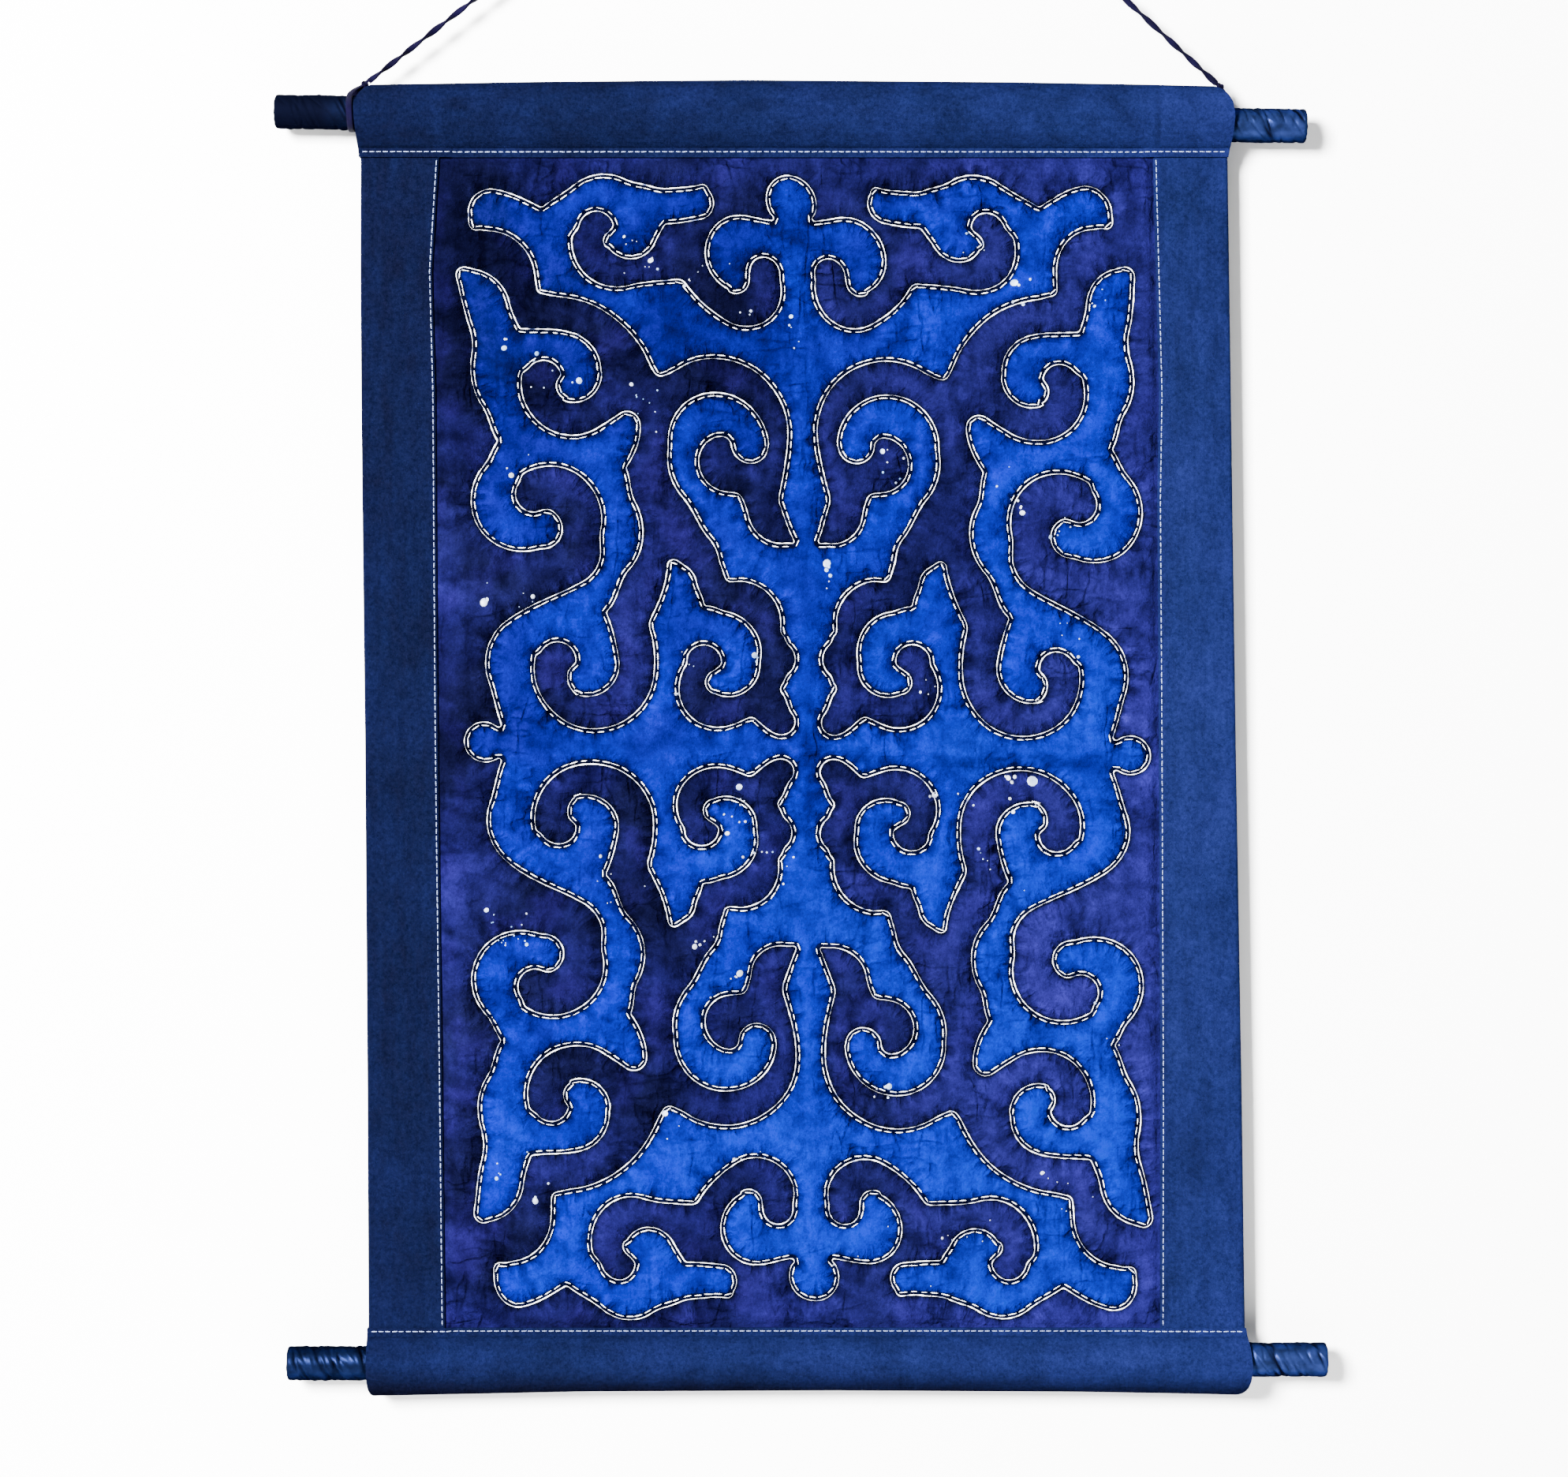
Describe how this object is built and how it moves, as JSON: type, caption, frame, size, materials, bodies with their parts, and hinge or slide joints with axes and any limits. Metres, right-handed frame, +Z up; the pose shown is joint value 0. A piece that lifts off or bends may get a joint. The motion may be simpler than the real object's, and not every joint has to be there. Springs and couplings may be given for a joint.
{
  "type": "quilted wall hanging on rods",
  "caption": "Quilted cloth panel with a mirrored ram's-horn scroll, side bands and two rod sleeves, hung on wrapped rods from a thin ribbon.",
  "frame": {"origin": "the nail's place, at the inner top of the small loop on the hanging ribbon", "axes": "+Z up along the hanging, -Y out of its front, +Y into the wall, +X to the right seen from the front"},
  "size_m": [0.6025, 0.0294, 0.971],
  "materials": {
    "batik": "padded dyed cotton, royal blue figure on dark indigo",
    "navy_cotton": "brushed navy cotton",
    "navy_satin": "dark blue satin wound on a rod",
    "ribbon": "narrow dark ribbon"
  },
  "bodies": {
    "root": {"quilted_panel": "batik", "left_band": "navy_cotton", "right_band": "navy_cotton", "top_sleeve": "navy_cotton", "bottom_sleeve": "navy_cotton", "top_rod": "navy_satin", "bottom_rod": "navy_satin", "left_tie": "ribbon", "right_tie": "ribbon", "hanging_loop": "ribbon", "left_ribbon": "ribbon", "right_ribbon": "ribbon"}
  },
  "joints": []
}
